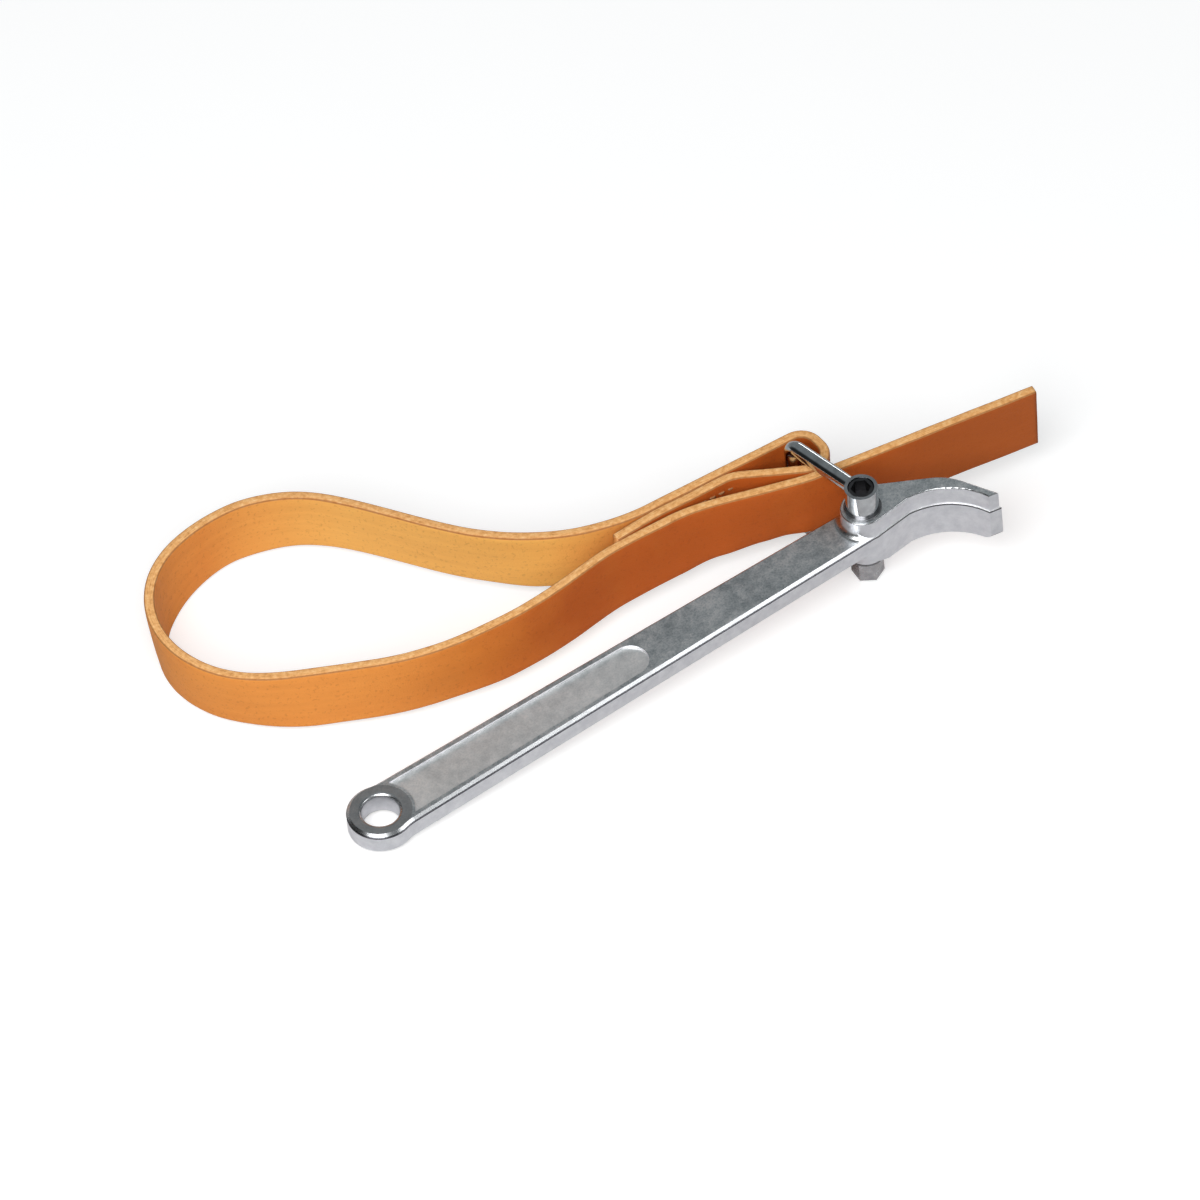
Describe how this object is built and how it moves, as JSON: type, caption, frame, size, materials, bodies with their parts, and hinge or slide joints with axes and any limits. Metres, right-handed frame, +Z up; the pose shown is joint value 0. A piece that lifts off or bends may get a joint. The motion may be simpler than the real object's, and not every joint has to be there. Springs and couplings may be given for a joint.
{
  "type": "oil filter wrench",
  "caption": "Strap-type oil filter wrench: forged handle with a hanging hole and a curved claw, a pivoting U-shaped shackle, and a leather strap looped through it.",
  "frame": {"origin": "middle of the footprint, on the surface that the wrench lies on", "axes": "+X along the handle from its tail towards the claw, +Y from the handle towards the strap, +Z up from the surface; the handle itself is tilted about 4.9 degrees, because it leans on its tail and on the nut under its pivot"},
  "size_m": [0.2984, 0.1542, 0.0438],
  "materials": {
    "forged_steel": "satin forged faces with polished bevels",
    "chrome_rod": "polished chrome",
    "chrome_collar": "polished chrome",
    "plated_nut": "plated, lightly worn",
    "screw_steel": "dark oiled steel",
    "washer_steel": "bright plated",
    "strap_leather": "waxed orange-tan leather with pale raw edges",
    "waxed_thread": "waxed linen thread"
  },
  "bodies": {
    "handle": {"handle": "forged_steel"},
    "shackle": {"shackle_rod": "chrome_rod", "shackle_collar": "chrome_collar", "shackle_nut": "plated_nut", "pivot_screw": "screw_steel", "upper_washer": "washer_steel", "lower_washer": "washer_steel"},
    "strap": {"leather_strap": "strap_leather", "strap_thread": "waxed_thread"}
  },
  "joints": [
    {"name": "shackle_swing", "type": "hinge", "parent": "handle", "child": "shackle", "pos_m": [0.07259, -0.05337, 0.02188], "axis": [-0.0846, 0, 0.9964], "range_deg": [-70, 25]},
    {"name": "strap_swing", "type": "hinge", "parent": "shackle", "child": "strap", "pos_m": [0.06661, -0.02217, 0.02137], "axis": [-0.0846, 0, 0.9964], "range_deg": [-25, 70]}
  ],
  "couplings": [
    {"joint": "strap_swing", "follows": "shackle_swing", "ratio": -1}
  ]
}
